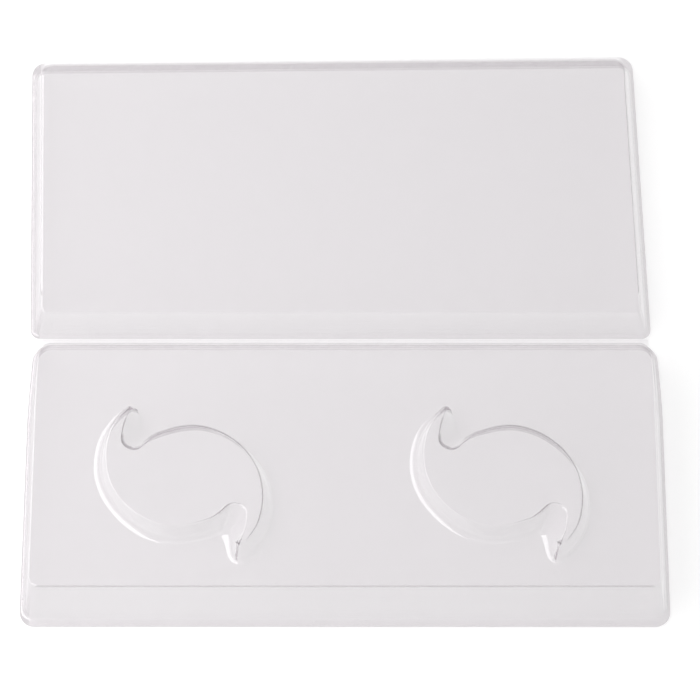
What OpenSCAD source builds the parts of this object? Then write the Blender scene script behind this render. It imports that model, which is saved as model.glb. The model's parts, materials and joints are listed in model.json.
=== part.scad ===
// Clear clamshell case for one pair of strip false eyelashes.
// It is one sheet of clear plastic, formed into a base, two lash wells and a lid that share a
// living hinge. It lies open and outside up, on the rims of its two halves, with every hollow
// facing the table. The lid closes by folding under the base, so that the hollows meet.
// Millimetres. X runs along the fold, the base is towards -Y, the lid towards +Y, Z is up.

/* [Sheet] */
// Thickness of the formed sheet
sheet_t = 0.4; // [0.3:0.05:0.6]
// Radius of the formed edges
edge_r = 0.7; // [0.4:0.1:1.2]

/* [Base] */
// Width of the base over its rim
base_w = 110; // [96:1:132]
// Depth of the base from the fold to its front rim
base_d = 50.6; // [44:1:61]
// Height of the flat platform above the table
base_h = 11.2; // [8:0.5:16]
// Width of the rim at the base's two sides
base_rim_side = 0.6; // [0.4:0.1:3]
// Width of the rim at the front of the base
base_rim_front = 1.3; // [0.6:0.1:4]
// Lean of the side walls, from rim to platform
base_draft_side = 2; // [1:0.1:4]
// Lean of the front wall, from rim to platform
base_draft_front = 2.7; // [1:0.1:5]
// Lean of the rear wall, from rim to shoulder
base_draft_rear = 3.2; // [1:0.1:5]
// Height of the rear shoulder above the platform
shoulder_h = 0.8; // [0.2:0.1:1.6]
// Width of the flat top of the rear shoulder
shoulder_d = 3.4; // [2:0.1:6]
// Width of the slope from the shoulder down to the platform
shoulder_slope = 6.4; // [3:0.1:9]

/* [Lash wells] */
// Distance between the centres of the two wells
well_pitch = 53; // [46:1:56]
// Distance from the fold to the centres of the wells
well_y = 29; // [27.5:0.5:31]
// Height that the wells stand above the platform
well_h = 5.5; // [3:0.5:7]
// Length of a well from tail to tail, over its foot
well_l = 32.4; // [27:0.1:34]

/* [Lid] */
// How much narrower the lid is than the base, over their rims
lid_narrower = 1.6; // [0:0.1:4]
// How much deeper the lid is than the base, from the fold to the rim
lid_deeper = 2.4; // [0:0.1:6]
// Height of the lid's panel above the table
lid_h = 7; // [5:0.5:10]
// Width of the rim at the lid's two sides
lid_rim_side = 0.5; // [0.4:0.1:3]
// Width of the far rim, which is the finger lip
lid_lip = 1.8; // [1:0.1:5]
// Lean of the lid's walls, from rim to panel
lid_draft = 1.7; // [0.8:0.1:3]
// Depth of the flat that is sunk into the lid's panel
lid_sink = 0.4; // [0.1:0.1:0.8]
// Width of the border along the near and far edges of the sunk flat
lid_border = 2.6; // [1.5:0.1:5]

/* [Hinge] */
// Width of the hinge bead, from rim to rim
hinge_d = 1.2; // [0.8:0.1:2]
// Thickness of the sheet in the bead
hinge_t = 0.2; // [0.15:0.05:0.3]
// Height of the bead above the table
hinge_h = 0.7; // [0.5:0.1:1]
// Gap between the bead and the lid's near rim
hinge_gap = 0.05; // [0.02:0.01:0.1]
// Inset of the bead's ends from the sides of the lid
hinge_inset = 3; // [2:0.1:5]

/* [Hidden] */

// Width of the rim at the fold, on either half
rim_fold = 0.6;
// Radius of the rim's corners seen from above
corner_rim = 2.6;
// Radius of the walls' vertical corners at the foot and at the top
corner_foot = 2.4;
corner_top = 1.8;
// Radius of the concave bend where a wall meets its rim
foot_r = 0.4;
// Steps along a corner seen from above, along a formed edge, and along a slope
corner_steps = 8;
edge_steps = 3;
slope_steps = 6;
// Steps between neighbouring points of a well's outline
outline_steps = 4;
// Length of the outline below, from tail to tail
outline_l = 32.4;
// Width and depth of the lid
lid_w = base_w - lid_narrower;
lid_d = base_d + lid_deeper;
// How far the fold lies behind the middle of the open case
fold_y = (base_d - lid_d - hinge_gap) / 2;

// Half outlines of a lash well about its centre. The other half is the same, turned half a turn.
// The foot is where the wall leaves the platform.
foot_half = [
    [-9.0, 13.7], [-9.8, 13.3], [-11.9, 11.5], [-14.0, 8.2], [-14.8, 4.4], [-14.4, 0.6],
    [-12.8, -2.9], [-9.9, -6.4], [-6.0, -9.2], [-1.6, -10.3], [3.2, -9.6], [6.2, -8.6],
    [7.3, -8.5], [7.3, -9.9], [7.6, -11.7], [8.2, -13.3]
];
// The rim is the top of the same wall.
rim_half = [
    [-9.3, 11.4], [-10.0, 11.1], [-11.2, 9.8], [-12.6, 7.3], [-13.2, 3.4], [-12.5, -0.6],
    [-10.6, -3.8], [-8.1, -6.1], [-5.0, -7.7], [-1.4, -8.4], [2.8, -7.7], [6.0, -5.6],
    [8.3, -4.6], [10.1, -5.6], [9.9, -8.4], [8.8, -10.9]
];

// A point on a bend from a to c that would meet at b, for t from 0 to 1
function bend(a, b, c, t) = (1 - t) * (1 - t) * a + 2 * t * (1 - t) * b + t * t * c;

// A smooth step from 0 to 1
function ease(t) = t <= 0 ? 0 : t >= 1 ? 1 : (1 - cos(180 * t)) / 2;

// A closed smooth curve through the points p, with n steps from each to the next
function curve(p, n) = let (m = len(p)) [
    for (i = [0:m - 1], s = [0:n - 1])
        let (t = s / n, a = p[(i + m - 1) % m], b = p[i], c = p[(i + 1) % m], d = p[(i + 2) % m])
        0.5 * (2 * b + (c - a) * t + (2 * a - 5 * b + 4 * c - d) * t * t
            + (3 * b - 3 * c + d - a) * t * t * t)
];

// The closed outline p moved inwards by d
function inward(p, d) = let (m = len(p)) [
    for (i = [0:m - 1])
        let (v = p[(i + 1) % m] - p[(i + m - 1) % m], u = v / norm(v))
        p[i] + d * [-u[1], u[0]]
];

// Points lifted to height z
function lift(p, z) = [for (q = p) [q[0], q[1], z]];

// Faces between neighbouring rings of n points, counted from ring a to ring b
function bands(n, a, b) = [
    for (k = [a:b - 1], i = [0:n - 1])
        let (j = (i + 1) % n)
        [k * n + i, (k + 1) * n + i, (k + 1) * n + j, k * n + j]
];

// A half of the case is [width, depth, top(y), rims, leans, depth of the walls],
// where rims and leans are those of the sides, the front and the rear.
function rim_of(half, k) = half[3][k];
function lean_of(half, k) = half[4][k];

// How far a wall's face lies inside the rim's edge at height z, moved inwards by d
function wall_in(half, k, z, d) =
    let (rise = half[5] - sheet_t, lean = lean_of(half, k) / rise)
    rim_of(half, k) + lean * (z - sheet_t) + d * sqrt(1 + lean * lean);

// A stage of the wall gives [inset, height] for a place whose top is at height z1.
// Stages 0 and 1 are the rim's edge, 2 is the bend at the foot and 3 the bend at the top.
// d is 0 on the outer face and the sheet's thickness on the inner one.
function stage_at(half, k, z1, stage, t, d) =
    let (low = d > 0 ? 0 : sheet_t, top = z1 - d, foot = wall_in(half, k, low, d))
    stage == 0 ? [0, 0] :
    stage == 1 ? [0, sheet_t] :
    stage == 2 ? [
        bend(foot - foot_r, foot, wall_in(half, k, low + foot_r, d), t),
        bend(low, low, low + foot_r, t)
    ] : [
        bend(wall_in(half, k, top - edge_r, d), wall_in(half, k, top, d),
            wall_in(half, k, top, d) + edge_r, t),
        bend(top - edge_r, top, top, t)
    ];

// One ring of a half, from the middle of its front round to the right, the rear and the left
function ring(half, stations, stage, t, d) =
    let (
        w = half[0] / 2,
        y0 = -half[1],
        front = stage_at(half, 1, half[2](y0), stage, t, d),
        rear = stage_at(half, 2, half[2](0), stage, t, d),
        side_f = stage_at(half, 0, half[2](y0), stage, t, d)[0],
        side_r = stage_at(half, 0, half[2](0), stage, t, d)[0],
        r = stage < 2 ? corner_rim : stage == 2 ? corner_foot - d : corner_top - d,
        right = concat(
            [for (i = [0:corner_steps])
                let (a = -90 + 90 * i / corner_steps)
                [w - side_f - r + r * cos(a), y0 + front[0] + r + r * sin(a), front[1]]],
            [for (y = stations)
                let (s = stage_at(half, 0, half[2](y), stage, t, d))
                [w - s[0], y, s[1]]],
            [for (i = [0:corner_steps])
                let (a = 90 * i / corner_steps)
                [w - side_r - r + r * cos(a), -rear[0] - r + r * sin(a), rear[1]]]
        ),
        m = len(right)
    )
    concat(right, [for (i = [m - 1:-1:0]) [-right[i][0], right[i][1], right[i][2]]]);

// Faces that close ring k of n points from side to side
function cap(n, k, up) = [
    for (i = [0:n / 2 - 2])
        let (a = k * n + i, b = k * n + n - 1 - i, f = [a, a + 1, b - 1, b])
        up ? [f[3], f[2], f[1], f[0]] : f
];

// The thin shell of one half of the case, open below
module shell(half, stations) {
    bends = [for (s = [2, 3], i = [0:edge_steps]) [s, i / edge_steps]];
    outer = concat([[0, 0], [1, 0]], bends);
    inner = [for (i = [len(bends) - 1:-1:0]) bends[i]];
    rings = concat(
        [for (s = inner) ring(half, stations, s[0], s[1], sheet_t)],
        [for (s = outer) ring(half, stations, s[0], s[1], 0)]
    );
    n = len(rings[0]);
    last = len(rings) - 1;
    polyhedron(
        points = [for (r = rings, p = r) p],
        faces = concat(
            bands(n, 0, last),
            cap(n, 0, false),
            cap(n, last, true)
        ),
        convexity = 6
    );
}

// Height of the base's top at a distance y in front of the fold
base_top = function (y)
    let (from = -(rim_fold + base_draft_rear + edge_r + shoulder_d))
    base_h + shoulder_h * (1 - ease((from - y) / shoulder_slope));
base_stations = [
    for (i = [0:slope_steps])
        -(rim_fold + base_draft_rear + edge_r + shoulder_d)
            - shoulder_slope * (1 - i / slope_steps)
];
base_half = [
    base_w, base_d, base_top,
    [base_rim_side, base_rim_front, rim_fold],
    [base_draft_side, base_draft_front, base_draft_rear],
    base_h
];

// Height of the lid's top at a distance y, counted as on the base
lid_edge = lid_draft + edge_r + lid_border;
lid_slope = lid_border / 2;
lid_top = function (y)
    lid_h - lid_sink * min(
        ease((y + lid_d - lid_lip - lid_edge) / lid_slope),
        ease((-y - rim_fold - lid_edge) / lid_slope)
    );
lid_stations = concat(
    [for (i = [0:slope_steps]) -lid_d + lid_lip + lid_edge + lid_slope * i / slope_steps],
    [for (i = [slope_steps:-1:0]) -rim_fold - lid_edge - lid_slope * i / slope_steps]
);
lid_half = [
    lid_w, lid_d, lid_top,
    [lid_rim_side, lid_lip, rim_fold],
    [lid_draft, lid_draft, lid_draft],
    lid_h
];

// The whole outline of a well from its half, at the size asked for
function both_halves(half) = well_l / outline_l * concat(half, -half);
foot_outline = curve(both_halves(foot_half), outline_steps);
rim_outline = curve(both_halves(rim_half), outline_steps);

// A point of the well's wall at height z, on the outer face or the inner one
function wall_ring(z, d) =
    let (
        t = z / well_h,
        foot = inward(foot_outline, d),
        rim = inward(rim_outline, d)
    )
    lift([for (i = [0:len(foot) - 1]) foot[i] + (rim[i] - foot[i]) * t], z);

// One lash well, a shell that stands on the edge of its hole in the platform
module lash_well() {
    lip = edge_r / 2;
    top_out = inward([for (p = wall_ring(well_h, 0)) [p[0], p[1]]], lip / 2);
    rings = [
        lift([for (p = wall_ring(well_h, sheet_t)) [p[0], p[1]]], well_h - sheet_t),
        wall_ring(0, sheet_t),
        wall_ring(0, 0),
        wall_ring(well_h - lip, 0),
        lift(top_out, well_h)
    ];
    n = len(foot_outline);
    last = len(rings) - 1;
    polyhedron(
        points = [for (r = rings, p = r) p],
        faces = concat(
            bands(n, 0, last),
            [[for (i = [0:n - 1]) i]],
            [[for (i = [n - 1:-1:0]) last * n + i]]
        ),
        convexity = 6
    );
}

// Puts a well's parts on the left (-1) or the right (1) of the platform
module at_well(side) {
    translate([side * well_pitch / 2, fold_y - hinge_d / 2 - well_y, base_h]) children();
}

// The hole in the platform under a well
module well_hole() {
    translate([0, 0, -2 * sheet_t])
        linear_extrude(4 * sheet_t)
            polygon(inward(foot_outline, sheet_t));
}

module base_tray() {
    color([0.93, 0.94, 0.95, 0.45])
        difference() {
            translate([0, fold_y - hinge_d / 2, 0]) shell(base_half, base_stations);
            for (side = [-1, 1]) at_well(side) well_hole();
        }
}

module left_lash_well() {
    color([0.90, 0.92, 0.94, 0.45]) at_well(-1) lash_well();
}

module right_lash_well() {
    color([0.90, 0.92, 0.94, 0.45]) at_well(1) lash_well();
}

// The bead between the two rims, an arch of thin sheet that bends when the lid folds
module hinge_web() {
    half_d = hinge_d / 2;
    arch = hinge_h - hinge_t;
    bead_steps = 12;
    top = [for (i = [0:bead_steps])
        let (a = 180 * i / bead_steps)
        [half_d * cos(a), hinge_h * sin(a)]];
    under = [for (i = [bead_steps:-1:0])
        let (a = 180 * i / bead_steps)
        [(half_d - hinge_t) * cos(a), arch * sin(a)]];
    color([0.95, 0.96, 0.97, 0.45])
        translate([-lid_w / 2 + hinge_inset, fold_y, 0])
            rotate([90, 0, 90])
                linear_extrude(lid_w - 2 * hinge_inset)
                    polygon(concat(top, under));
}

module lid_tray() {
    color([0.94, 0.95, 0.96, 0.45])
        translate([0, fold_y + hinge_d / 2 + hinge_gap, 0])
            mirror([0, 1, 0])
                shell(lid_half, lid_stations);
}

base_tray();
left_lash_well();
right_lash_well();
hinge_web();
lid_tray();
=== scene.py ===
"""Clear clamshell case for a pair of strip eyelashes, shown open and outside up.

The two halves and the bead between them are formed from one thin clear sheet. An attribute on its
vertices, "bend", holds how much more (above 0) or less (below 0) the sheet hides at that place. Above 0
it is painted shade, along the creases and at the left foot, where it also darkens the colour; below 0
on the walls and rims at the ends of the halves it is painted light that lifts their shade.
"""

import json
import math

import bmesh
import bpy
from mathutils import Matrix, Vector

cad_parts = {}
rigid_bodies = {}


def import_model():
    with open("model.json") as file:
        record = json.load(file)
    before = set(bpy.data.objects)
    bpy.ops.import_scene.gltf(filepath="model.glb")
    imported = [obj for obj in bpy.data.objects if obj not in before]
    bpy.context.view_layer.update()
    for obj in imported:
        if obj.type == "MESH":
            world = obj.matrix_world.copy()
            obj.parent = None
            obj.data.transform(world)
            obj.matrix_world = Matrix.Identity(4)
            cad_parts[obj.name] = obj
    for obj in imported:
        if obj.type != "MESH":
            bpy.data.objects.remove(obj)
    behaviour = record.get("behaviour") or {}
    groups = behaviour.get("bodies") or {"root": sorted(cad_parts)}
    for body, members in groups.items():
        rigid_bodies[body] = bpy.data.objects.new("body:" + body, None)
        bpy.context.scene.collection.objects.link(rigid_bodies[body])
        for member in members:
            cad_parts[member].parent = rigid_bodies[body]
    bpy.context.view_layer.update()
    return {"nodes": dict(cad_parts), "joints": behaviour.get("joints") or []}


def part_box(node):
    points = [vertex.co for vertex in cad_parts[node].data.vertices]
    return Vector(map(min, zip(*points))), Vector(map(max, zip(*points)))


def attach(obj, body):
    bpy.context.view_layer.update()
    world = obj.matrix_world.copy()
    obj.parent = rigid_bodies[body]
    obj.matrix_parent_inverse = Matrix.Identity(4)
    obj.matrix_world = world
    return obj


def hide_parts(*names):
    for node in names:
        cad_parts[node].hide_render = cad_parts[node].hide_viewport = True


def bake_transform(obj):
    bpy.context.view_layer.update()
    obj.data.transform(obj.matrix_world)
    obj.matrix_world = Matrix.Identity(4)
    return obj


bl_info = {
    "name": "Clear eyelash case",
    "version": (1, 0, 0),
    "blender": (4, 5, 0),
    "location": "3D View > Sidebar > Lash case",
    "description": "Builds a clear formed eyelash case and a plain stage for it",
    "category": "Object",
}

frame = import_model()

MM = 0.001
SNAP = 0.0005 * MM
# The z of a face's normal, above which the face counts as level
LEVEL = 0.999
# Two heights that differ by less than this are the same level
AT_HEIGHT = 0.01 * MM

BASE_LOW, BASE_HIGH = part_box("base_tray")
LID_LOW, LID_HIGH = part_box("lid_tray")
BEAD_LOW, BEAD_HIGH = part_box("hinge_web")
WELL_LOW, WELL_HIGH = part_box("left_lash_well")
WELL_CENTRE = (WELL_LOW + WELL_HIGH) / 2
WELL_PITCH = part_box("right_lash_well")[0].x - WELL_LOW.x
PLATFORM, WELL_TOP = WELL_LOW.z, WELL_HIGH.z

# Values of "bend": painted light that clears the walls and rims at the ends in y, painted shade on the
# foot at the left, the bead's clearness, and painted shade lines along the creases
FAR_WALL_PAINTED_LIGHT = -0.2
NEAR_WALL_PAINTED_LIGHT = -0.12
FLAT_RIM_PAINTED_LIGHT = -0.5
LEFT_FOOT_PAINTED_SHADE = 0.15
BEAD_TONE = -0.3
FRONT_CREASE_PAINTED_SHADE = 1
SHOULDER_CREASE_PAINTED_SHADE = 0.12
# For the painted light at the ends: what lies below this height is rim, and what lies nearer to a side
# than this is corner
RIM_HEIGHT = 0.45 * MM
CORNER_WIDTH = 1.5 * MM
CORNER_FADE = 2 * MM
# The painted shade of the left foot lies within this width and height
LEFT_FOOT_WIDTH = 1.6 * MM
LEFT_FOOT_HEIGHT = 1.2 * MM

# A painted shade line along a crease: its half width, the part of it that fades, and its distance from
# the side walls
CREASE_REACH, CREASE_FADE, CREASE_SHORT = 0.2 * MM, 0.08 * MM, 0.5 * MM
# The painted shade line on a well's rim lies between these depths below its top
RIM_LINE_FROM, RIM_LINE_TO = 0.004 * MM, 0.1 * MM

# The stretch in y over which the base narrows towards the fold
TAPER_FROM, TAPER_TO = -20 * MM, -2 * MM
# What moves with a flat top lies no more than this many edge roundings below it
EDGE_MARGIN = 1.05
# Narrow flat rings that keep the shading of a rounding off the flat beside it
TRAY_RING, WELL_RING = 0.3 * MM, 0.15 * MM
# The ring that a well's foot is bent in is this many times as wide as the bend
FOOT_MARGIN = 1.15

# The two rings of a well, at its foot and at its rim: how much longer in x and y than in the
# frame, how far aside, and a push in the notch beside each tail, by its place from the centre
FOOT_RING = {"scale": (1.03, 1.0), "aside": 0,
             "place": (7.4 * MM, -10.2 * MM), "reach": 3.6 * MM, "push": (-2.2 * MM, 0.2 * MM)}
RIM_RING = {"scale": (1.01, 1.06), "aside": -0.25 * MM,
            "place": (5.6 * MM, -6.3 * MM), "reach": 3.0 * MM, "push": (0, -0.7 * MM)}
# The notch that is smoothed, and the tip of a tail, both from the well's centre
NOTCH, NOTCH_REACH, SMOOTHINGS = (6.0 * MM, -8.9 * MM), 3.6 * MM, 90
TAIL_TIP = (9.0 * MM, -11.2 * MM)
# The one large face on a well's top has more corners than this, and the platform more area
MANY_CORNERS, LARGE_FACE = 20, 1000 * MM * MM
# The oval in a well's top that sinks, and the squares that the top is cut into
DISH_LONG, DISH_WIDE, DISH_TURN = 12.6 * MM, 8.2 * MM, math.radians(-22)
DISH_SQUARE, DISH_CUTS = 1.2 * MM, (14, 10)

# The floor lies this far below the rims, so that no two faces share a place
FLOOR_DROP = 0.02 * MM


class SheetSettings(bpy.types.PropertyGroup):
    """The sheet that the case is formed from, and the way that it looks."""

    thickness: bpy.props.FloatProperty(
        name="Thickness", description="Thickness of the formed sheet",
        default=0.4 * MM, min=0.1 * MM, max=1 * MM, precision=5, unit="LENGTH")
    rim_fold: bpy.props.FloatProperty(
        name="Fold rim", description="Width of the rim on each side of the fold",
        default=0.6 * MM, precision=5, unit="LENGTH")
    colour: bpy.props.FloatVectorProperty(
        name="Colour", description="Tint of the sheet",
        default=(0.445, 0.375, 0.425), size=3, min=0, max=1, subtype="COLOR")
    cover: bpy.props.FloatProperty(
        name="Cover", description="How much one face of the sheet hides, seen straight on",
        default=0.215, min=0, max=1, subtype="FACTOR")
    edge_cover: bpy.props.FloatProperty(
        name="Edge cover", description="How much one face of the sheet hides, seen edge on",
        default=0.05, min=0, max=1, subtype="FACTOR")
    # Strength of the painted tone in "bend": the painted shade along creases hides more and darkens the
    # colour
    line: bpy.props.FloatProperty(
        name="Crease lines", description="How much more a sharp crease hides",
        default=0.42, min=0, max=1, subtype="FACTOR")
    shade: bpy.props.FloatProperty(
        name="Shade", description="Share of the cover that counts for shadows",
        default=0.35, min=0, max=1, subtype="FACTOR")
    roughness: bpy.props.FloatProperty(
        name="Roughness", description="Roughness of the glossy face",
        default=0.07, min=0, max=1, subtype="FACTOR")
    ripple: bpy.props.FloatProperty(
        name="Ripples", description="Strength of the slow ripples in the sheet",
        default=0.05, min=0, max=1, subtype="FACTOR")
    ior: bpy.props.FloatProperty(
        name="Refraction", description="Strength of the reflection at the face, as a refractive index",
        default=2.9, min=1, max=4)


class BaseSettings(bpy.types.PropertyGroup):
    """Form of the deeper half, with the two wells."""

    rim_side: bpy.props.FloatProperty(
        name="Side rim", description="Width of the rim at the sides", default=0.6 * MM, unit="LENGTH")
    rim_front: bpy.props.FloatProperty(
        name="Front rim", description="Width of the rim at the front", default=1.3 * MM, unit="LENGTH")
    corner_front: bpy.props.FloatProperty(
        name="Front corners", description="Radius of the rim's corners at the front",
        default=2.6 * MM, unit="LENGTH")
    corner_fold: bpy.props.FloatProperty(
        name="Fold corners", description="Radius of the rim's corners at the fold",
        default=3.0 * MM, unit="LENGTH")
    lean_side: bpy.props.FloatProperty(
        name="Side lean", description="Lean of the side walls from foot to top",
        default=1.6 * MM, unit="LENGTH")
    lean_front: bpy.props.FloatProperty(
        name="Front lean", description="Lean of the front wall from foot to top",
        default=2.65 * MM, unit="LENGTH")
    lean_rear: bpy.props.FloatProperty(
        name="Rear lean", description="Lean of the wall at the fold from foot to top",
        default=3.2 * MM, unit="LENGTH")
    edge: bpy.props.FloatProperty(
        name="Edge rounding", description="Width of the rounding round the top",
        default=0.35 * MM, unit="LENGTH")
    shoulder: bpy.props.FloatProperty(
        name="Shoulder rise", description="Height of the shoulder above the platform",
        default=0.8 * MM, unit="LENGTH")
    shoulder_depth: bpy.props.FloatProperty(
        name="Shoulder depth", description="Depth of the flat top of the shoulder",
        default=3.4 * MM, unit="LENGTH")
    slope_depth: bpy.props.FloatProperty(
        name="Slope depth", description="Depth of the slope down to the platform",
        default=6.4 * MM, unit="LENGTH")
    taper: bpy.props.FloatProperty(
        name="Taper", description="How much narrower the relaxed base is at the fold, as a share",
        default=0.014, min=0, max=0.1, subtype="FACTOR")


class WellSettings(bpy.types.PropertyGroup):
    """Form of the raised wells that the lashes curl round."""

    dish: bpy.props.FloatProperty(
        name="Dish", description="How far the middle of a well's top sinks",
        default=0.45 * MM, unit="LENGTH")
    rim_round: bpy.props.FloatProperty(
        name="Rim rounding", description="Width of the rounding round the top",
        default=0.15 * MM, precision=5, unit="LENGTH")
    foot_round: bpy.props.FloatProperty(
        name="Foot rounding", description="Width of the bend where the wall meets the platform",
        default=0.95 * MM, unit="LENGTH")
    foot_in: bpy.props.FloatProperty(
        name="Foot setback", description="How far the wall's foot moves in, as a share of its lean",
        default=0.25, min=0, max=1, subtype="FACTOR")


class LidSettings(bpy.types.PropertyGroup):
    """Form of the shallow half."""

    rim_side: bpy.props.FloatProperty(
        name="Side rim", description="Width of the rim at the sides", default=0.5 * MM, unit="LENGTH")
    lip: bpy.props.FloatProperty(
        name="Finger lip", description="Width of the far rim", default=1.8 * MM, unit="LENGTH")
    corner_fold: bpy.props.FloatProperty(
        name="Fold corners", description="Radius of the rim's corners at the fold",
        default=1.6 * MM, unit="LENGTH")
    corner_far: bpy.props.FloatProperty(
        name="Far corners", description="Radius of the rim's far corners",
        default=2.6 * MM, unit="LENGTH")
    lean: bpy.props.FloatProperty(
        name="Lean", description="Lean of the walls from foot to top", default=1.7 * MM, unit="LENGTH")
    edge: bpy.props.FloatProperty(
        name="Edge rounding", description="Width of the rounding round the top",
        default=0.5 * MM, unit="LENGTH")
    sink: bpy.props.FloatProperty(
        name="Sink", description="Depth of the flat in the panel", default=0.4 * MM, unit="LENGTH")
    border: bpy.props.FloatProperty(
        name="Border", description="Depth of the raised border at the near and far edges",
        default=2.6 * MM, unit="LENGTH")
    shift: bpy.props.FloatProperty(
        name="Shift", description="How far the relaxed lid lies to the left of the base at the fold",
        default=0.75 * MM, unit="LENGTH")
    lean_left: bpy.props.FloatProperty(
        name="Lean to the left", description="How much further to the left its far edge lies",
        default=1.6 * MM, unit="LENGTH")
    skew: bpy.props.FloatProperty(
        name="Skew", description="How much deeper the lid is at its right side than at its left",
        default=1.2 * MM, unit="LENGTH")
    stretch: bpy.props.FloatProperty(
        name="Stretch", description="How much deeper the middle of the lid lies, as it relaxes",
        default=0.6 * MM, unit="LENGTH")


class BeadSettings(bpy.types.PropertyGroup):
    """Form of the bead along the fold."""

    thickness: bpy.props.FloatProperty(
        name="Thickness", description="Thickness of the sheet in the bead",
        default=0.2 * MM, precision=5, unit="LENGTH")
    extra: bpy.props.FloatProperty(
        name="Extra length", description="How much longer the bead is than in the frame",
        default=3.5 * MM, unit="LENGTH")


class StageSettings(bpy.types.PropertyGroup):
    """Floor, light and camera."""

    floor: bpy.props.FloatVectorProperty(
        name="Floor colour", description="Colour of the floor",
        default=(0.8, 0.8, 0.8), size=3, min=0, max=1, subtype="COLOR")
    lift: bpy.props.FloatProperty(
        name="Floor glow", description="Strength of the glow that the camera sees on the floor",
        default=0.4, min=0)
    around: bpy.props.FloatProperty(
        name="Light around", description="Strength of the white light from all round",
        default=0.35, min=0)
    key: bpy.props.FloatProperty(
        name="Key light", description="Power of the long soft light at the left",
        default=3.0, unit="POWER")
    front: bpy.props.FloatProperty(
        name="Front light", description="Power of the soft light in front", default=0.4, unit="POWER")
    tilt: bpy.props.FloatProperty(
        name="Camera tilt", description="Angle of the camera from straight down",
        default=math.radians(20), subtype="ANGLE")
    height: bpy.props.FloatProperty(
        name="Camera height", description="Height of the camera above the floor",
        default=0.492, unit="LENGTH")
    aside: bpy.props.FloatProperty(
        name="Camera aside", description="How far to the right of the case's middle the camera stands",
        default=0.85 * MM, unit="LENGTH")
    before_fold: bpy.props.FloatProperty(
        name="Aim", description="How far in front of the fold the camera looks",
        default=1.39 * MM, unit="LENGTH")
    lens: bpy.props.FloatProperty(
        name="Focal length", description="Focal length of the camera", default=154.29,
        unit="CAMERA")


def clamp(value):
    """The value, kept between 0 and 1."""
    return min(max(value, 0), 1)


def ease(t):
    """Smooth step from 0 to 1."""
    return (1 - math.cos(math.pi * clamp(t))) / 2


def only(obj):
    """Makes obj the one selected and active object."""
    bpy.ops.object.select_all(action="DESELECT")
    obj.select_set(True)
    bpy.context.view_layer.objects.active = obj


def flat_sheet(centre_y, wide, deep, z):
    """A new level sheet in edit mode, centred on x, for a piece to be formed from."""
    bpy.ops.object.select_all(action="DESELECT")
    bpy.ops.mesh.primitive_plane_add(size=1, location=(0, centre_y, z))
    obj = bpy.context.active_object
    obj.scale = (wide, deep, 1)
    bpy.ops.object.transform_apply(location=True, rotation=True, scale=True)
    bpy.ops.object.mode_set(mode="EDIT")
    return obj


def pick(obj, test, kind="VERT"):
    """In edit mode, selects the vertices, edges or faces for which test(element) holds."""
    bpy.ops.mesh.select_mode(type=kind)
    bpy.ops.mesh.select_all(action="DESELECT")
    bm = bmesh.from_edit_mesh(obj.data)
    bm.normal_update()
    elements = {"VERT": bm.verts, "EDGE": bm.edges, "FACE": bm.faces}[kind]
    chosen = [e for e in elements if test(e)]
    for e in chosen:
        e.select_set(True)
    bm.select_flush_mode()
    bmesh.update_edit_mesh(obj.data)
    if not chosen:
        raise RuntimeError(f"nothing found to select on {obj.name}")


def slide(vector):
    """Moves what is selected by vector."""
    bpy.ops.transform.translate(value=vector)


def reshape(obj, place):
    """In edit mode, moves each vertex to place(co)."""
    bm = bmesh.from_edit_mesh(obj.data)
    for v in bm.verts:
        v.co = place(v.co)
    bmesh.update_edit_mesh(obj.data)


def mark_bend(obj, weight):
    """In edit mode, stores weight(vertex), where it isn't 0, as the vertex's "bend"."""
    bm = bmesh.from_edit_mesh(obj.data)
    layer = bm.verts.layers.float.get("bend") or bm.verts.layers.float.new("bend")
    bm.normal_update()
    for v in bm.verts:
        v[layer] = weight(v) or v[layer]
    bmesh.update_edit_mesh(obj.data)


def painted_wall_light_and_shade(v, low, high, near, far):
    """Weight for mark_bend: painted light at the ends in y, where walls and rims are made clearer to
    lift their shade, and painted shade on a slightly greyer left foot.

    near and far are the depths of the clear walls at low y and at high y. The tone fades in from
    the sides, so that the corners stay visible.
    """
    tone = FAR_WALL_PAINTED_LIGHT if v.co.y > high.y - far else NEAR_WALL_PAINTED_LIGHT if v.co.y < low.y + near else 0
    if tone and v.co.z < RIM_HEIGHT:
        tone = FLAT_RIM_PAINTED_LIGHT
    inward = min(v.co.x - low.x, high.x - v.co.x) - CORNER_WIDTH
    if tone and inward > 0:
        return tone * min(inward / CORNER_FADE, 1)
    at_foot = v.co.x < low.x + LEFT_FOOT_WIDTH and v.co.z < LEFT_FOOT_HEIGHT
    return LEFT_FOOT_PAINTED_SHADE if at_foot else 0


def painted_crease_shade(v, side, y, z, tone):
    """Weight for mark_bend: a thin painted shade line along x at y and z that stops short of the sides.
    """
    if abs(v.co.x) > side:
        return 0
    return tone * clamp((CREASE_REACH - math.hypot(v.co.y - y, v.co.z - z)) / CREASE_FADE)


def shift_walls(obj, inside, left, right, low, high, centre_y):
    """Moves the four sides of the picked outline by themselves; inside picks its vertices."""
    for test, vector in (
        (lambda v: v.co.x < 0, (left, 0, 0)),
        (lambda v: v.co.x > 0, (right, 0, 0)),
        (lambda v: v.co.y < centre_y, (0, low, 0)),
        (lambda v: v.co.y > centre_y, (0, high, 0)),
    ):
        pick(obj, lambda v: inside(v) and test(v))
        slide(vector)


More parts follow.
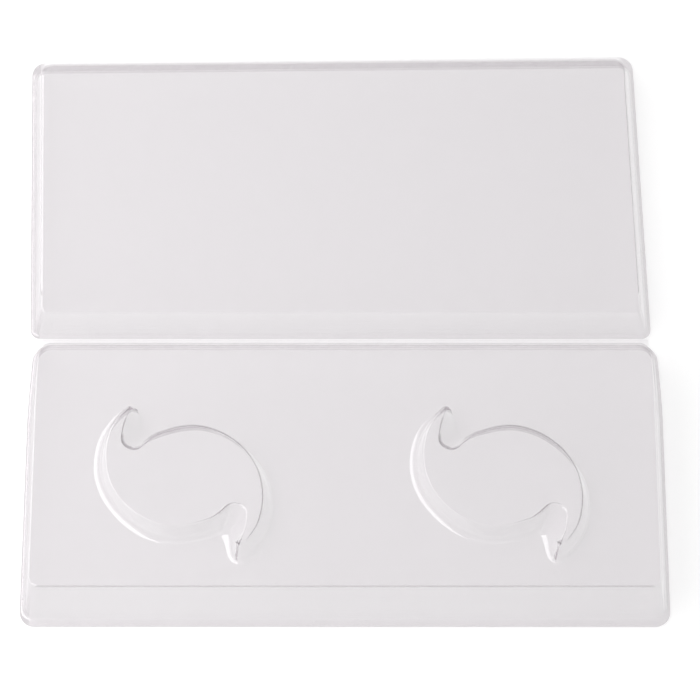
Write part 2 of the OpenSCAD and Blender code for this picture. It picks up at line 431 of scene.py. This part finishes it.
def tray(low, high, top, sheet, corners, rims, leans, edge):
    """Outer skin of one half: rim, bent foot, leaning walls and rounded top edge.

    corners are the radii of the corners at low y and at high y. rims and leans are those of
    the side at low y, the side at high y and the two other sides.
    """
    centre_y = (low.y + high.y) / 2
    obj = flat_sheet(centre_y, high.x - low.x, high.y - low.y, sheet)
    for radius, end in zip(corners, (low.y, high.y)):
        pick(obj, lambda v: abs(v.co.y - end) < SNAP)
        bpy.ops.mesh.bevel(offset=radius, segments=12, affect="VERTICES")
    bpy.ops.mesh.select_mode(type="FACE")
    bpy.ops.mesh.select_all(action="SELECT")
    narrow = min(rims)
    foot_bend = 0.7 * narrow
    bpy.ops.mesh.inset(thickness=narrow, depth=0)
    inner = lambda v: not v.is_boundary
    shift_walls(obj, inner, rims[2] - narrow, narrow - rims[2],
                rims[0] - narrow, narrow - rims[1], centre_y)
    pick(obj, lambda f: all(inner(v) for v in f.verts), "FACE")
    bpy.ops.mesh.extrude_region_move(TRANSFORM_OT_translate={"value": (0, 0, top - sheet)})
    raised = lambda v: v.co.z > top - sheet
    shift_walls(obj, raised, leans[2], -leans[2], leans[0], -leans[1], centre_y)
    pick(obj, lambda e: all(raised(v) for v in e.verts), "EDGE")
    bpy.ops.mesh.bevel(offset=edge, segments=6, affect="EDGES")
    pick(obj, lambda e: all(inner(v) and v.co.z < 1.5 * sheet for v in e.verts), "EDGE")
    bpy.ops.mesh.bevel(offset=foot_bend, segments=4, affect="EDGES")
    pick(obj, lambda f: f.normal.z > LEVEL and f.calc_center_median().z > top - SNAP, "FACE")
    bpy.ops.mesh.inset(thickness=TRAY_RING, depth=0)
    return obj


def cut_across(obj, places):
    """Cuts the skin by upright planes across y."""
    for y in places:
        bpy.ops.mesh.select_all(action="SELECT")
        bpy.ops.mesh.bisect(plane_co=(0, y, 0), plane_no=(0, 1, 0), threshold=SNAP)


def raise_steps(obj, above, start, end, rise, steps):
    """Raises what lies above a height, smoothly along y from start to end, by rise in all."""
    places = [start + (end - start) * i / steps for i in range(steps + 1)]
    cut_across(obj, places)
    onward = 1 if end > start else -1
    half = abs(end - start) / steps / 2
    for i in range(1, steps + 1):
        y = places[i] - onward * half
        pick(obj, lambda v: v.co.z > above and (v.co.y - y) * onward > 0)
        slide((0, 0, rise * (ease(i / steps) - ease((i - 1) / steps))))


def base_skin(settings, sheet):
    """Outer skin of the base: rim, walls, platform, and the slope up to the shoulder."""
    edge, rear_wall = settings.edge, sheet.rim_fold + settings.lean_rear
    obj = tray(BASE_LOW, BASE_HIGH, PLATFORM, sheet.thickness,
               corners=(settings.corner_front, settings.corner_fold),
               rims=(settings.rim_front, sheet.rim_fold, settings.rim_side),
               leans=(settings.lean_front, settings.lean_rear, settings.lean_side), edge=edge)
    front_top = BASE_LOW.y + settings.rim_front + settings.lean_front
    shoulder_rear = BASE_HIGH.y - rear_wall
    shoulder = shoulder_rear - edge - settings.shoulder_depth
    raise_steps(obj, PLATFORM - EDGE_MARGIN * edge, shoulder - settings.slope_depth, shoulder,
                settings.shoulder, steps=10)
    # Painted light that clears the rear wall and rim, painted shade on the left foot, and painted shade
    # lines along the front crease and the shoulder's crease
    mark_bend(obj, lambda v: painted_wall_light_and_shade(v, BASE_LOW, BASE_HIGH, 0, rear_wall))
    side = BASE_HIGH.x - settings.rim_side - settings.lean_side - CREASE_SHORT
    mark_bend(obj, lambda v: painted_crease_shade(v, side, front_top, PLATFORM, FRONT_CREASE_PAINTED_SHADE))
    mark_bend(obj, lambda v: painted_crease_shade(v, side, shoulder_rear, PLATFORM + settings.shoulder,
                                         SHOULDER_CREASE_PAINTED_SHADE))

    def tapered(co):
        along = clamp((co.y - TAPER_FROM) / (TAPER_TO - TAPER_FROM))
        return co.x * (1 - settings.taper * along * along), co.y, co.z

    reshape(obj, tapered)
    bpy.ops.object.mode_set(mode="OBJECT")
    return obj


def lid_skin(settings, sheet):
    """Outer skin of the lid, its panel sunk between two borders, leaning left as it relaxes."""
    edge = settings.edge
    near_wall, far_wall = sheet.rim_fold + settings.lean, settings.lip + settings.lean
    top = LID_HIGH.z
    obj = tray(LID_LOW, LID_HIGH, top, sheet.thickness,
               corners=(settings.corner_fold, settings.corner_far),
               rims=(sheet.rim_fold, settings.lip, settings.rim_side),
               leans=(settings.lean, settings.lean, settings.lean), edge=edge)
    near = LID_LOW.y + near_wall + edge + settings.border
    far = LID_HIGH.y - far_wall - edge - settings.border
    slope = settings.border / 2
    below_edge = top - EDGE_MARGIN * edge
    raise_steps(obj, below_edge, near, near + slope, -settings.sink, steps=6)
    raise_steps(obj, below_edge - settings.sink, far - slope, far, settings.sink, steps=6)
    # Painted light that clears the walls and rims at the near and far ends, and painted shade on the
    # left foot
    mark_bend(obj, lambda v: painted_wall_light_and_shade(v, LID_LOW, LID_HIGH, near_wall, far_wall))

    def relaxed(co):
        along = (co.y - LID_LOW.y) / (LID_HIGH.y - LID_LOW.y)
        across = (co.x - LID_LOW.x) / (LID_HIGH.x - LID_LOW.x) - 0.5
        return (co.x - (settings.shift + settings.lean_left * along),
                co.y + (settings.stretch + settings.skew * across) * along, co.z)

    reshape(obj, relaxed)
    bpy.ops.object.mode_set(mode="OBJECT")
    return obj


def bead_skin(settings):
    """Outer skin of the bead: a long strip with a half-round section."""
    wide, rise = (BEAD_HIGH.y - BEAD_LOW.y) / 2, BEAD_HIGH.z
    centre_y = (BEAD_LOW.y + BEAD_HIGH.y) / 2
    obj = flat_sheet(centre_y, BEAD_HIGH.x - BEAD_LOW.x + settings.extra, BEAD_HIGH.y - BEAD_LOW.y, 0)
    steps = 16
    turns = [math.pi * i / steps for i in range(1, steps)]
    cut_across(obj, [centre_y - wide * math.cos(turn) for turn in turns])
    for turn in turns:
        y = centre_y - wide * math.cos(turn)
        pick(obj, lambda v: abs(v.co.y - y) < SNAP)
        slide((0, 0, rise * math.sin(turn)))
    mark_bend(obj, lambda v: BEAD_TONE)
    bpy.ops.object.mode_set(mode="OBJECT")
    return obj


def outer_cup(obj):
    """Leaves only the outer cup of a copied well, open at its foot, in edit mode."""
    bpy.ops.object.mode_set(mode="EDIT")
    bpy.ops.mesh.select_all(action="SELECT")
    bpy.ops.mesh.remove_doubles(threshold=0.001 * MM)
    # The outer cup is what hangs on the top once the foot's face is gone
    at_foot = lambda f: f.calc_center_median().z < PLATFORM + AT_HEIGHT
    pick(obj, lambda f: f.normal.z < -LEVEL and at_foot(f), "FACE")
    bpy.ops.mesh.delete(type="FACE")
    pick(obj, lambda v: v.co.z > WELL_TOP - AT_HEIGHT)
    bpy.ops.mesh.select_linked()
    bpy.ops.mesh.select_all(action="INVERT")
    bpy.ops.mesh.delete(type="VERT")


def well_skin(settings):
    """Outer skin of one well, from the frame's left one: bent foot, wall, rounded rim, dished top."""
    node = frame["nodes"]["left_lash_well"]
    bpy.ops.object.select_all(action="DESELECT")
    obj = node.copy()
    obj.data = node.data.copy()
    obj.name = "well_skin"
    obj.parent = None
    for key in list(obj.keys()):
        del obj[key]
    bpy.context.scene.collection.objects.link(obj)
    only(obj)
    outer_cup(obj)
    shape_rings(obj)
    smooth_notches(obj)
    pick(obj, lambda f: f.normal.z > LEVEL, "FACE")
    bpy.ops.mesh.dissolve_faces()
    bpy.ops.mesh.select_all(action="SELECT")
    bpy.ops.mesh.tris_convert_to_quads(face_threshold=1.0, shape_threshold=1.5)
    large = lambda f: len(f.verts) > MANY_CORNERS
    pick(obj, lambda e: len(e.link_faces) == 2 and any(large(f) for f in e.link_faces), "EDGE")
    bpy.ops.mesh.bevel(offset=settings.rim_round, segments=3, affect="EDGES")
    pick(obj, large, "FACE")
    bpy.ops.mesh.inset(thickness=WELL_RING, depth=0)
    # Painted shade: a dark line round the rim
    mark_bend(obj, painted_rim_shade)
    # The bend between the wall and the platform, with a narrow flat ring round it
    set_foot_in(obj, settings.foot_in)
    widen_foot(obj, settings.foot_round * FOOT_MARGIN)
    at_foot = lambda v: abs(v.co.z - PLATFORM) < SNAP and not v.is_boundary
    pick(obj, lambda e: not e.is_boundary and all(at_foot(v) for v in e.verts), "EDGE")
    bpy.ops.mesh.bevel(offset=settings.foot_round, segments=6, affect="EDGES")
    widen_foot(obj, WELL_RING)
    dish_top(obj, settings.dish)
    bpy.ops.object.mode_set(mode="OBJECT")
    return obj


def to_nearer(co, place):
    """Distance, seen from above, to the nearer of a place beside one tail and its twin at the other."""
    x, y = co.x - WELL_CENTRE.x, co.y - WELL_CENTRE.y
    return min(math.hypot(x - hand * place[0], y - hand * place[1]) for hand in (1, -1))


def painted_rim_shade(v):
    """Weight for mark_bend: a painted shade line on the rounded rim, strongest towards the right and
    back, fading at the near left side and the tails.
    """
    if not RIM_LINE_FROM < WELL_TOP - v.co.z < RIM_LINE_TO:
        return 0
    outward = Vector((v.normal.x, v.normal.y)).normalized()
    to_the_right_and_back = 0.8 * outward.x + 0.6 * outward.y
    return clamp(0.3 + 1.2 * to_the_right_and_back) * clamp(to_nearer(v.co, TAIL_TIP) / MM - 1)


def shape_rings(obj):
    """Widens the well's foot and rim a little, and pushes the notches beside its tails."""
    middle_z = (PLATFORM + WELL_TOP) / 2

    def shaped(co):
        ring = FOOT_RING if co.z < middle_z else RIM_RING
        x, y = co.x - WELL_CENTRE.x, co.y - WELL_CENTRE.y
        new_x, new_y = x * ring["scale"][0] + ring["aside"], y * ring["scale"][1]
        for hand in (1, -1):
            away = math.hypot(x - hand * ring["place"][0], y - hand * ring["place"][1]) / ring["reach"]
            fade = max(1 - away * away, 0) ** 2
            new_x += hand * ring["push"][0] * fade
            new_y += hand * ring["push"][1] * fade
        return WELL_CENTRE.x + new_x, WELL_CENTRE.y + new_y, co.z

    reshape(obj, shaped)


def smooth_notches(obj):
    """Evens out the open foot of the well in the notches beside its tails."""
    bm = bmesh.from_edit_mesh(obj.data)
    loop = [v for v in bm.verts if v.is_boundary]
    for _ in range(SMOOTHINGS):
        moves = []
        for v in loop:
            strength = 0.6 * min(2 * max(1 - to_nearer(v.co, NOTCH) / NOTCH_REACH, 0), 1)
            ends = [e.other_vert(v).co for e in v.link_edges if e.is_boundary]
            moves.append((v, ((ends[0] + ends[1]) / 2 - v.co) * strength))
        for v, move in moves:
            v.co += move
    bmesh.update_edit_mesh(obj.data)


def set_foot_in(obj, share):
    """Moves the open foot of the wall in towards the top, seen from above."""
    bm = bmesh.from_edit_mesh(obj.data)
    moves = []
    for v in bm.verts:
        if v.is_boundary:
            up = min((e for e in v.link_edges if not e.is_boundary), key=lambda e: e.calc_length())
            moves.append((v, (up.other_vert(v).co - v.co) * share))
    for v, move in moves:
        v.co.x += move.x
        v.co.y += move.y
    bmesh.update_edit_mesh(obj.data)


def widen_foot(obj, distance):
    """Extrudes the open loop round the foot and moves it outwards along the platform."""
    pick(obj, lambda e: e.is_boundary, "EDGE")
    bpy.ops.mesh.extrude_region_move(TRANSFORM_OT_translate={"value": (0, 0, 0)})
    bm = bmesh.from_edit_mesh(obj.data)
    moves = []
    for v in bm.verts:
        if v.is_boundary:
            a, b = (e.other_vert(v).co for e in v.link_edges if e.is_boundary)
            outward = (b - a).cross(Vector((0, 0, 1))).normalized()
            inner = next(e.other_vert(v) for e in v.link_edges if not e.is_boundary)
            new_faces = set(v.link_faces)
            across = [e.other_vert(inner).co for e in inner.link_edges
                      if not new_faces.intersection(e.link_faces)]
            if sum(outward.dot(inner.co - co) for co in across) < 0:
                outward = -outward
            moves.append((v, outward))
    for v, outward in moves:
        v.co += outward * distance
    bmesh.update_edit_mesh(obj.data)


def dish_top(obj, depth):
    """Cuts the flat top into small squares and sinks them towards the middle."""
    skin_top = WELL_TOP - AT_HEIGHT
    for axis, cuts in enumerate(DISH_CUTS):
        for k in range(-cuts, cuts + 1):
            pick(obj, lambda f: f.normal.z > LEVEL and f.calc_center_median().z > skin_top, "FACE")
            co = WELL_CENTRE.copy()
            co[axis] += k * DISH_SQUARE
            normal = [0, 0, 0]
            normal[axis] = 1
            bpy.ops.mesh.bisect(plane_co=co, plane_no=normal, threshold=SNAP)

    def dished(co):
        if co.z < skin_top:
            return co
        x, y = co.x - WELL_CENTRE.x, co.y - WELL_CENTRE.y
        along = x * math.cos(DISH_TURN) + y * math.sin(DISH_TURN)
        across = y * math.cos(DISH_TURN) - x * math.sin(DISH_TURN)
        from_middle = (along / DISH_LONG) ** 2 + (across / DISH_WIDE) ** 2
        return co.x, co.y, co.z - depth * max(1 - from_middle, 0) ** 2

    reshape(obj, dished)


def join_wells(base, left):
    """Joins a well and its copy at the right to the base, and closes the platform round them."""
    only(left)
    bpy.ops.object.duplicate()
    bpy.ops.transform.translate(value=(WELL_PITCH, 0, 0))
    right = bpy.context.active_object
    bpy.ops.object.transform_apply(location=True, rotation=True, scale=True)
    only(base)
    for well in (left, right):
        well.select_set(True)
    bpy.ops.object.join()
    bpy.ops.object.mode_set(mode="EDIT")
    at_platform = lambda element: all(abs(v.co.z - PLATFORM) < AT_HEIGHT for v in element.verts)
    # The platform is the one large face at its height
    pick(base, lambda f: f.normal.z > LEVEL and at_platform(f) and f.calc_area() > LARGE_FACE, "FACE")
    bpy.ops.mesh.delete(type="ONLY_FACE")
    pick(base, lambda e: e.is_boundary and at_platform(e), "EDGE")
    bpy.ops.mesh.fill(use_beauty=True)
    bpy.ops.object.mode_set(mode="OBJECT")


def thicken(obj, sheet):
    """Gives the skin the sheet's thickness, inwards, and smooth faces."""
    only(obj)
    bpy.ops.object.mode_set(mode="EDIT")
    bpy.ops.mesh.select_all(action="SELECT")
    bpy.ops.mesh.remove_doubles(threshold=0.002 * MM)
    bpy.ops.mesh.normals_make_consistent(inside=False)
    bpy.ops.object.mode_set(mode="OBJECT")
    solid = obj.modifiers.new("sheet", "SOLIDIFY")
    solid.thickness = sheet
    solid.offset = -1
    bpy.ops.object.modifier_apply(modifier=solid.name)
    bpy.ops.object.shade_smooth_by_angle(angle=math.radians(40))
    weighted = obj.modifiers.new("normals", "WEIGHTED_NORMAL")
    weighted.keep_sharp = True
    bpy.ops.object.modifier_apply(modifier=weighted.name)


def add_node(tree, kind, inputs=None, **properties):
    """Adds a node to a tree, sets its properties, and then the values of its open inputs."""
    node = tree.nodes.new(kind)
    for key, value in properties.items():
        setattr(node, key, value)
    for key, value in (inputs or {}).items():
        node.inputs[key].default_value = value
    return node


def join_nodes(tree, *wires):
    """Links the nodes of a tree. Each wire is a node, its output, the next node and its input."""
    for start, output, end, socket in wires:
        tree.links.new(start.outputs[output], end.inputs[socket])


def formed_sheet_group():
    """Node group: slow ripples and fine scuffs of a formed plastic sheet."""
    name = "formed_sheet"
    if name in bpy.data.node_groups:
        return bpy.data.node_groups[name]
    group = bpy.data.node_groups.new(name, "ShaderNodeTree")
    face = group.interface
    face.new_socket("Vector", in_out="INPUT", socket_type="NodeSocketVector")
    for socket, value in (("Ripple size", 60), ("Roughness", 0.12)):
        face.new_socket(socket, in_out="INPUT", socket_type="NodeSocketFloat").default_value = value
    for socket in ("Roughness", "Height"):
        face.new_socket(socket, in_out="OUTPUT", socket_type="NodeSocketFloat")
    start = add_node(group, "NodeGroupInput")
    end = add_node(group, "NodeGroupOutput")
    wave = add_node(group, "ShaderNodeTexNoise", {"Detail": 2})
    scuff = add_node(group, "ShaderNodeTexNoise", {"Scale": 900, "Detail": 4})
    spread = add_node(group, "ShaderNodeMapRange",
                      {"From Min": 0.35, "From Max": 0.75, "To Min": 0.9, "To Max": 1.25})
    times = add_node(group, "ShaderNodeMath", operation="MULTIPLY")
    join_nodes(
        group,
        (start, "Vector", wave, "Vector"),
        (start, "Ripple size", wave, "Scale"),
        (start, "Vector", scuff, "Vector"),
        (scuff, "Fac", spread, "Value"),
        (spread, "Result", times, 0),
        (start, "Roughness", times, 1),
        (times, "Value", end, "Roughness"),
        (wave, "Fac", end, "Height"),
    )
    return group


def clear_sheet(settings):
    """Material of the whole case: clear glossy sheet that hides least where it is seen edge on."""
    name = "clear_formed_sheet"
    if name in bpy.data.materials:
        return bpy.data.materials[name]
    mat = bpy.data.materials.new(name)
    mat.use_nodes = True
    tree = mat.node_tree
    bsdf = tree.nodes["Principled BSDF"]
    bsdf.inputs["IOR"].default_value = settings.ior

    # The glossy face, with slow ripples and fine scuffs
    place = add_node(tree, "ShaderNodeTexCoord")
    detail = add_node(tree, "ShaderNodeGroup", {"Ripple size": 55, "Roughness": settings.roughness},
                      node_tree=formed_sheet_group())
    bump = add_node(tree, "ShaderNodeBump", {"Strength": settings.ripple, "Distance": 0.4 * MM})
    join_nodes(
        tree,
        (place, "Object", detail, "Vector"),
        (detail, "Roughness", bsdf, "Roughness"),
        (detail, "Height", bump, "Height"),
        (bump, "Normal", bsdf, "Normal"),
    )

    # How much the sheet hides: less where it is seen edge on, more where "bend" paints shade, and less
    # where it paints light or clears the bead
    facing = add_node(tree, "ShaderNodeLayerWeight", {"Blend": 0.5})
    edge_on = add_node(tree, "ShaderNodeMath", {1: 6.0}, operation="POWER")
    cover = add_node(tree, "ShaderNodeMapRange",
                     {"To Min": settings.cover, "To Max": settings.edge_cover})
    bend = add_node(tree, "ShaderNodeAttribute", attribute_name="bend")
    line = add_node(tree, "ShaderNodeMath", {1: settings.line}, operation="MULTIPLY")
    hides = add_node(tree, "ShaderNodeMath", operation="ADD", use_clamp=True)
    # Light that falls through the sheet loses much less than the view through it
    path = add_node(tree, "ShaderNodeLightPath")
    through = add_node(tree, "ShaderNodeMapRange", {"To Min": 1.0, "To Max": settings.shade})
    alpha = add_node(tree, "ShaderNodeMath", operation="MULTIPLY")
    join_nodes(
        tree,
        (facing, "Facing", edge_on, 0),
        (edge_on, "Value", cover, "Value"),
        (bend, "Fac", line, 0),
        (cover, "Result", hides, 0),
        (line, "Value", hides, 1),
        (path, "Is Shadow Ray", through, "Value"),
        (hides, "Value", alpha, 0),
        (through, "Result", alpha, 1),
        (alpha, "Value", bsdf, "Alpha"),
    )

    # Painted shade: where "bend" is above 0, along creases and at the left foot, the colour is darkened
    # towards a third of the sheet's colour, standing in for the dark lines that refraction makes at a
    # sharp crease
    painted_shade_colour = [0.3 * c for c in settings.colour]
    colour_with_painted_shade = add_node(tree, "ShaderNodeMix", {"A": (*settings.colour, 1), "B": (*painted_shade_colour, 1)},
                    data_type="RGBA")
    join_nodes(tree, (line, "Value", colour_with_painted_shade, "Factor"), (colour_with_painted_shade, "Result", bsdf, "Base Color"))
    return mat


def finish_piece(obj, name, material, *replaced):
    """Names the piece, gives it its material and says which CAD nodes it stands for."""
    obj.name = name
    obj.data.name = name
    obj.data.materials.clear()
    obj.data.materials.append(material)
    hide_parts(*replaced)


class LASHCASE_OT_base(bpy.types.Operator):
    """Builds the base with its two wells as one formed skin"""

    bl_idname = "lashcase.base"
    bl_label = "Build base and wells"

    def execute(self, context):
        sheet = context.scene.lash_sheet
        obj = base_skin(context.scene.lash_base, sheet)
        join_wells(obj, well_skin(context.scene.lash_wells))
        thicken(obj, sheet.thickness)
        finish_piece(obj, "base_sheet", clear_sheet(sheet),
                     "base_tray", "left_lash_well", "right_lash_well")
        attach(obj, "base")
        return {"FINISHED"}


class LASHCASE_OT_lid(bpy.types.Operator):
    """Builds the shallow lid with its border and finger lip"""

    bl_idname = "lashcase.lid"
    bl_label = "Build lid"

    def execute(self, context):
        sheet = context.scene.lash_sheet
        obj = lid_skin(context.scene.lash_lid, sheet)
        thicken(obj, sheet.thickness)
        finish_piece(obj, "lid_sheet", clear_sheet(sheet), "lid_tray")
        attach(obj, "lid")
        return {"FINISHED"}


class LASHCASE_OT_bead(bpy.types.Operator):
    """Builds the thin bead along the fold between the two halves"""

    bl_idname = "lashcase.bead"
    bl_label = "Build hinge bead"

    def execute(self, context):
        bead = context.scene.lash_bead
        obj = bead_skin(bead)
        thicken(obj, bead.thickness)
        finish_piece(obj, "hinge_bead", clear_sheet(context.scene.lash_sheet), "hinge_web")
        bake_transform(obj)
        return {"FINISHED"}


def soft_light(name, place, wide, high, power):
    """A soft light with a flat oblong face that looks at the case."""
    bpy.ops.object.light_add(type="AREA", location=place)
    lamp = bpy.context.active_object
    lamp.name = name
    lamp.data.shape = "RECTANGLE"
    lamp.data.size = wide
    lamp.data.size_y = high
    lamp.data.energy = power
    lamp.rotation_mode = "QUATERNION"
    lamp.rotation_quaternion = (-Vector(place)).to_track_quat("-Z", "Y")


def floor_material(colour, lift):
    """Pale floor with a faint glow that shows in the view only, and lights nothing."""
    mat = bpy.data.materials.new("pale_floor")
    mat.use_nodes = True
    tree = mat.node_tree
    tree.nodes.clear()
    out = add_node(tree, "ShaderNodeOutputMaterial")
    plain = add_node(tree, "ShaderNodeBsdfDiffuse", {"Color": (*colour, 1)})
    glow = add_node(tree, "ShaderNodeEmission")
    path = add_node(tree, "ShaderNodeLightPath")
    seen = add_node(tree, "ShaderNodeMath", operation="MAXIMUM")
    strength = add_node(tree, "ShaderNodeMath", {1: lift}, operation="MULTIPLY")
    both = add_node(tree, "ShaderNodeAddShader")
    join_nodes(
        tree,
        (path, "Is Camera Ray", seen, 0),
        (path, "Is Transmission Ray", seen, 1),
        (seen, "Value", strength, 0),
        (strength, "Value", glow, "Strength"),
        (plain, "BSDF", both, 0),
        (glow, "Emission", both, 1),
        (both, "Shader", out, "Surface"),
    )
    return mat


class LASHCASE_OT_stage(bpy.types.Operator):
    """Sets the pale floor, the soft light and the camera"""

    bl_idname = "lashcase.stage"
    bl_label = "Build stage"

    def execute(self, context):
        scene = context.scene
        stage = scene.lash_stage
        bpy.ops.object.select_all(action="DESELECT")
        bpy.ops.mesh.primitive_plane_add(size=6, location=(0, 0, -FLOOR_DROP))
        floor = context.active_object
        floor.name = "floor"
        floor.data.materials.append(floor_material(stage.floor, stage.lift))
        world = bpy.data.worlds.new("studio")
        scene.world = world
        world.use_nodes = True
        back = world.node_tree.nodes["Background"]
        back.inputs["Color"].default_value = (1, 1, 1, 1)
        back.inputs["Strength"].default_value = stage.around
        soft_light("key", place=(-0.36, 0.0, 0.41), wide=0.8, high=0.45, power=stage.key)
        soft_light("front", place=(0.0, -0.7, 0.4), wide=0.6, high=0.4, power=stage.front)
        bpy.ops.object.camera_add()
        cam = context.active_object
        cam.data.sensor_width = 36
        cam.data.lens = stage.lens
        cam.data.dof.use_dof = False
        aim_y = frame["joints"][0]["pos_m"][1] - stage.before_fold
        cam.location = (stage.aside, aim_y - stage.height * math.tan(stage.tilt), stage.height)
        cam.rotation_euler = (stage.tilt, 0, 0)
        cam.data.clip_start = 0.01
        scene.camera = cam
        scene.view_settings.view_transform = "Standard"
        # Near the fold a ray crosses more faces of the sheet than Blender lets through by default
        scene.cycles.transparent_max_bounces = 32
        return {"FINISHED"}


class LASHCASE_PT_panel(bpy.types.Panel):
    """Sizes, finish and light of the case, and a button for each piece"""

    bl_label = "Lash case"
    bl_idname = "LASHCASE_PT_panel"
    bl_space_type = "VIEW_3D"
    bl_region_type = "UI"
    bl_category = "Lash case"

    def draw(self, context):
        layout = self.layout
        for title, group, operator in PANEL_ROWS:
            box = layout.box()
            box.label(text=title)
            settings = getattr(context.scene, group)
            for key in settings.bl_rna.properties.keys():
                if key not in ("rna_type", "name"):
                    box.prop(settings, key)
            if operator:
                box.operator(operator)


# Title, group of settings and button. The base's button builds the wells too
PANEL_ROWS = (
    ("Sheet", "lash_sheet", None),
    ("Base", "lash_base", None),
    ("Wells", "lash_wells", "lashcase.base"),
    ("Lid", "lash_lid", "lashcase.lid"),
    ("Bead", "lash_bead", "lashcase.bead"),
    ("Stage", "lash_stage", "lashcase.stage"),
)

GROUPS = (
    ("lash_sheet", SheetSettings),
    ("lash_base", BaseSettings),
    ("lash_wells", WellSettings),
    ("lash_lid", LidSettings),
    ("lash_bead", BeadSettings),
    ("lash_stage", StageSettings),
)

CLASSES = (
    LASHCASE_OT_base,
    LASHCASE_OT_lid,
    LASHCASE_OT_bead,
    LASHCASE_OT_stage,
    LASHCASE_PT_panel,
)


def register():
    """Registers the settings and then the classes that use them."""
    for name, group in GROUPS:
        bpy.utils.register_class(group)
        setattr(bpy.types.Scene, name, bpy.props.PointerProperty(type=group))
    for c in CLASSES:
        bpy.utils.register_class(c)


def unregister():
    """Takes back what register did, in the opposite order."""
    for c in reversed(CLASSES):
        bpy.utils.unregister_class(c)
    for name, group in reversed(GROUPS):
        delattr(bpy.types.Scene, name)
        bpy.utils.unregister_class(group)


def main():
    """Builds the case and its stage."""
    register()
    bpy.ops.lashcase.base()
    bpy.ops.lashcase.lid()
    bpy.ops.lashcase.bead()
    bpy.ops.lashcase.stage()


if __name__ == "__main__":
    main()
